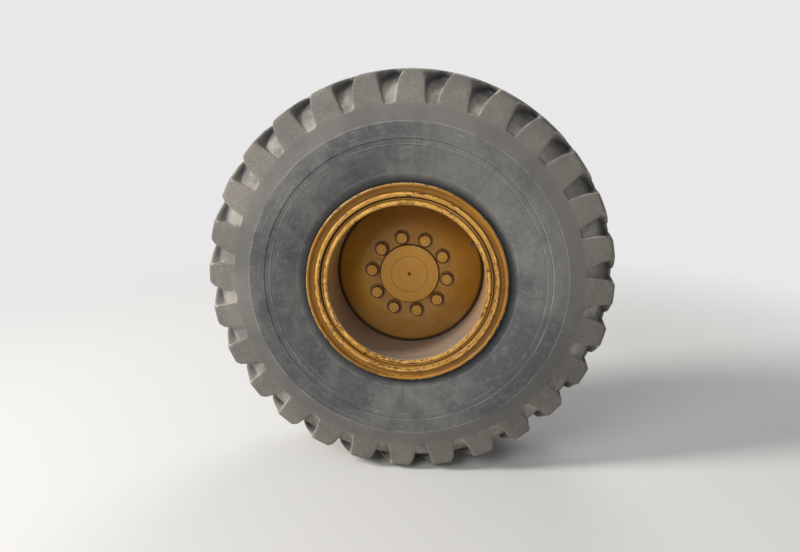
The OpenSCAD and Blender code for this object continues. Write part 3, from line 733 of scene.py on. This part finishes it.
def disc_marks(look):
    """Orange patches of painted bounce light, dust low down that is also painted light, painted
    shade at the top, grime round the nuts, and painted shade at the edge.
    """
    # Painted bounce light: orange patches away from the middle
    painted_bounce = look.times(look.spread(look.grain(2.6, 2), 0.44, 0.66),
                       look.spread(look.radius, 0.16, 0.24))
    look.coat(look.times(painted_bounce, 0.45), tint(156, 98, 26))
    # Dust low down, and painted light that makes the lower disc lighter
    settled_dust_and_light = look.times(look.spread(look.up, -0.07, -0.21),
                         look.spread(look.cloud, 0.25, 0.6, 0.5, 1))
    look.coat(look.times(settled_dust_and_light, 0.42), tint(176, 136, 88))
    # Painted shade on the top of the disc
    look.coat(look.spread(look.up, 0.05, 0.24, 0, 0.5), tint(112, 66, 10))
    pale_ring = look.times(look.line(NUT_CIRCLE_R, 0.024, 0.026),
                           look.spread(look.cloud, 0.2, 0.8, 0.1, 0.3))
    look.coat(pale_ring, tint(150, 108, 50))
    nut = look.from_nut()
    halo = look.times(look.band(nut, NUT_DUST_R, 0.0015, 0.0050),
                      look.spread(look.cloud, 0.30, 0.6))
    look.coat(look.times(halo, 0.35), tint(170, 134, 84))
    look.coat(look.spread(nut, NUT_GRIME_R, NUT_GRIME_R - 0.0024, 0, 0.7), GRIME)
    look.coat(look.line(PILOT_R, 0.0022, 0.0012), GRIME)
    # Painted shade at the edge beside the barrel
    look.coat(look.spread(look.radius, DISC_EDGE_R - 0.015, DISC_EDGE_R, 0, 0.95),
              tint(22, 16, 13))


def nut_marks(look):
    """Paint on the end of each nut, and grime on its flanks and collar."""
    ragged = look.maths("ADD", look.from_nut(),
                        look.spread(look.cloud, 0.3, 0.7, -0.0012, 0.0012))
    flank = look.times(look.spread(ragged, NUT_END_R, NUT_END_R + MM),
                       look.spread(ragged, NUT_FLANK_R, NUT_FLANK_R - 0.0016))
    look.coat(look.times(flank, 0.85), tint(62, 40, 26))


def cast_marks(look):
    """Patches of oil film on the castings."""
    oily = look.spread(look.grain(7, 4, 0.6), 0.50, 0.64)
    look.coat(look.times(oily, 0.55), tint(70, 54, 36))


def flange_paint():
    """Paint of both flanges, chipped at the edge and a little inside it."""
    return ochre_paint("flange_paint", OCHRE_DARK, OCHRE, 0.35, flange_marks,
                       [(0.3585, 0.0040, 0.12), (0.3460, 0.0060, 0.02)])


def ring_paint():
    """Paint of the bead seat band and the lock ring."""
    return ochre_paint("ring_paint", OCHRE_LIGHT, OCHRE_PALE, 0.2, ring_marks,
                       [(0.3270, 0.0045, 0.10), (0.3170, 0.0040, 0.10)])


def rim_paint():
    """Paint of the rim base, chipped on both sides of its lip, which has a painted highlight."""
    return ochre_paint("rim_paint", OCHRE_LIGHT, OCHRE_PALE, 0.2, rim_marks,
                       [(0.2960, 0.0050, 0.07), (0.2885, 0.0040, 0.11)])


def disc_paint():
    """Paint of the wheel disc."""
    return ochre_paint("disc_paint", DISC_DARK, DISC_LIGHT, 0.15, disc_marks)


def nut_paint():
    """Paint of the wheel nuts."""
    return ochre_paint("nut_paint", HUB_DARK, HUB_LIGHT, 0.3, nut_marks)


def cast_paint():
    """Paint of the spindle housing and its seal retainer."""
    return ochre_paint("cast_paint", OCHRE_DARK, OCHRE, 0.35, cast_marks)


# Metal

STEEL = tint(150, 150, 152)
BOLT_STEEL = tint(128, 126, 122)
BRASS = tint(140, 118, 78)
CAP_METAL = tint(92, 80, 74)
OIL_AND_DUST = tint(92, 84, 72)


def turned_metal(name, tone, roughness):
    """Machined metal with fine turned rings and a film of oil and dust."""
    look = Finish(name)
    place = look.node("ShaderNodeCombineXYZ", {"X": look.radius}).outputs[0]
    rings = look.grain(900, 2, 0.5, place)
    stain = look.grain(14, 4)
    look.colour = look.blend(look.spread(stain, 0.35, 0.75), tone, OIL_AND_DUST)
    look.bump(rings, 0.15, 0.0003)
    return look.finish(look.spread(stain, 0.3, 0.7, roughness, roughness + 0.25), 0.85)


def painted_steel(name, bare_from, marks=None):
    """Machined steel, painted over outwards of a place on the axle."""
    look = Finish(name)
    look.cloud = look.grain(22, 4, 0.6)
    stain = look.grain(14, 4)
    look.colour = look.blend(look.spread(look.grain(3.1, 4), 0.36, 0.64), HUB_DARK, HUB_LIGHT)
    look.coat(look.spread(look.cloud, 0.40, 0.68, 0, 0.2), tint(170, 134, 82))
    look.coat(look.spread(look.grain(230, 2), 0.70, 0.73, 0, 0.85), GRIME)
    if marks:
        marks(look)
    bare = look.spread(look.along, bare_from, bare_from + 2 * MM)
    look.coat(bare, look.blend(look.spread(stain, 0.35, 0.75), STEEL, OIL_AND_DUST))
    look.bump(look.grain(110, 4, 0.65), 0.1, 0.0004)
    return look.finish(look.spread(stain, 0.3, 0.7, 0.42, 0.58), look.times(bare, 0.85), 0.3)


def hub_marks(look):
    """A dark scribed line on the end of the shaft, its centre hole, and grime at its edge."""
    line = look.times(look.line(SCRIBE_R, 0.0005, 0.0006), look.spread(look.cloud, 0.2, 0.5))
    look.coat(look.times(line, 0.6), GRIME)
    look.coat(look.spread(look.radius, CENTRE_HOLE_R, CENTRE_HOLE_R - 0.0025, 0, 0.7), GRIME)
    look.coat(look.spread(look.radius, PILOT_R - 0.0022, PILOT_R - 0.0012, 0, 0.7), GRIME)


def hub_paint():
    """Paint of the shaft's outer end, with bare steel behind it."""
    return painted_steel("hub_paint", SHAFT_PAINT_END, hub_marks)


def stud_steel():
    """Steel of the studs, painted at their outer ends."""
    outer_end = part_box("wheel_studs")[0].y
    return painted_steel("painted_stud_steel", outer_end + STUD_PAINT_L)


def machined_steel():
    """Steel of the bearings and their nut."""
    return turned_metal("machined_steel", STEEL, 0.4)


def bolt_steel():
    """Steel of the retainer bolts, the brake port, the bleed screw and the plug."""
    return turned_metal("bolt_steel", BOLT_STEEL, 0.5)


def valve_brass():
    """Brass of the valve stem."""
    return turned_metal("valve_brass", BRASS, 0.5)


def valve_cap_metal():
    """Dull metal of the valve cap."""
    return turned_metal("valve_cap_metal", CAP_METAL, 0.5)


# Tyre, and the finish of each CAD node

tyre(dusty_rubber())

flange = flange_paint()
ring = ring_paint()
casting = cast_paint()
machined = machined_steel()
bolt = bolt_steel()
FINISHES = {
    "rim_base": rim_paint(), "inner_flange": flange, "outer_flange": flange,
    "bead_seat_band": ring, "lock_ring": ring, "wheel_disc": disc_paint(),
    "wheel_shaft": hub_paint(), "bearing_nut": machined, "wheel_studs": stud_steel(),
    "wheel_nuts": nut_paint(), "valve_stem": valve_brass(), "valve_cap": valve_cap_metal(),
    "spindle_housing": casting, "outer_bearing": machined, "inner_bearing": machined,
    "seal_retainer": casting, "retainer_bolts": bolt, "brake_port": bolt, "bleed_screw": bolt,
    "drain_plug": bolt}

slots = {row["node"]: row["material_slot"] for row in frame["record"]["subparts"]}
for body in (WHEEL, SPINDLE):
    for name in frame["record"]["behaviour"]["bodies"][body]:
        if name in FINISHES:
            smooth_copy(name, body, slots[name], FINISHES[name])


# Studio

FLOOR = tint(222, 221, 218)
BACKGROUND = tint(232, 232, 232)
FLOOR_GAP = 0.0005
FLOOR_R = 60
FADE_FROM = 1.7
FADE_TO = 4.2
SKY = (0.92, 0.96, 1, 1)
SKY_STRENGTH = 0.22
WHITE = (1, 1, 1)
WARM_WHITE = (1, 0.975, 0.94)


def floor_material():
    """Pale floor that fades into the background."""
    look = Finish("studio_floor")
    look.shader.inputs["Roughness"].default_value = 0.9
    look.shader.inputs["Base Color"].default_value = FLOOR
    glow = look.node("ShaderNodeEmission", {"Color": BACKGROUND, "Strength": 1.0})
    away = look.node("ShaderNodeVectorMath", {0: look.place}, operation="LENGTH").outputs["Value"]
    blend = look.node("ShaderNodeMixShader", {
        0: look.spread(away, FADE_FROM, FADE_TO), 1: look.shader.outputs[0],
        2: glow.outputs[0]})
    look.tree.links.new(blend.outputs[0], look.tree.nodes["Material Output"].inputs["Surface"])
    return look.material


def studio_floor():
    """Round floor just under the tyre."""
    mesh = bmesh.new()
    bmesh.ops.create_circle(mesh, cap_ends=True, segments=96, radius=FLOOR_R,
                            matrix=Matrix.Translation((0, 0, -TYRE_R - FLOOR_GAP)))
    data = bpy.data.meshes.new("studio_floor")
    mesh.to_mesh(data)
    mesh.free()
    floor = bpy.data.objects.new("studio_floor", data)
    bpy.context.scene.collection.objects.link(floor)
    data.materials.append(floor_material())


def surround():
    """Soft even light that looks pale to the camera and in reflections."""
    world = bpy.data.worlds.new("surround")
    world.use_nodes = True
    tree = world.node_tree
    lit = tree.nodes["Background"]
    lit.inputs["Color"].default_value = SKY
    lit.inputs["Strength"].default_value = SKY_STRENGTH
    seen = tree.nodes.new("ShaderNodeBackground")
    seen.inputs["Color"].default_value = BACKGROUND
    ray = tree.nodes.new("ShaderNodeLightPath")
    shown = ray.outputs["Is Camera Ray"]
    for seen_by in ("Is Glossy Ray", "Is Transmission Ray"):
        either = tree.nodes.new("ShaderNodeMath")
        either.operation = "MAXIMUM"
        tree.links.new(shown, either.inputs[0])
        tree.links.new(ray.outputs[seen_by], either.inputs[1])
        shown = either.outputs[0]
    mixed = tree.nodes.new("ShaderNodeMixShader")
    tree.links.new(shown, mixed.inputs[0])
    tree.links.new(lit.outputs[0], mixed.inputs[1])
    tree.links.new(seen.outputs[0], mixed.inputs[2])
    tree.links.new(mixed.outputs[0], tree.nodes["World Output"].inputs["Surface"])
    bpy.context.scene.world = world


def lamp(name, place, size, power, colour):
    """Round soft lamp that points at the middle of the tyre."""
    data = bpy.data.lights.new(name, "AREA")
    data.color = colour
    data.shape = "DISK"
    data.size = size
    data.energy = power
    light = bpy.data.objects.new(name, data)
    light.location = place
    aim = Vector((0, TYRE_MID, 0)) - Vector(place)
    light.rotation_euler = aim.to_track_quat("-Z", "Y").to_euler()
    bpy.context.scene.collection.objects.link(light)


def camera():
    """The photograph's camera."""
    data = bpy.data.cameras.new("camera")
    data.sensor_fit = "HORIZONTAL"
    data.sensor_width = SENSOR_W
    data.lens = FOCAL_PIXELS / IMAGE_W * SENSOR_W
    view = bpy.data.objects.new("camera", data)
    place = Vector((0, TYRE_MID - FLANGE_EDGE, 0)) + CAMERA_OFFSET
    turn = (Matrix.Rotation(CAMERA_YAW, 4, "Z") @ Matrix.Rotation(pi / 2 + CAMERA_PITCH, 4, "X")
            @ Matrix.Rotation(-CAMERA_ROLL, 4, "Z"))
    view.matrix_world = Matrix.Translation(place) @ turn
    bpy.context.scene.collection.objects.link(view)
    bpy.context.scene.camera = view


studio_floor()
surround()
lamp("key", (-9.6, -3.5, 5.6), 2.7, 1330, WARM_WHITE)
lamp("fill", (-2.2, -4.2, 2.6), 2.6, 100, WHITE)
lamp("back", (0.5, 3.6, 3.2), 3.0, 80, WHITE)
camera()
bpy.context.scene.view_settings.view_transform = "Standard"
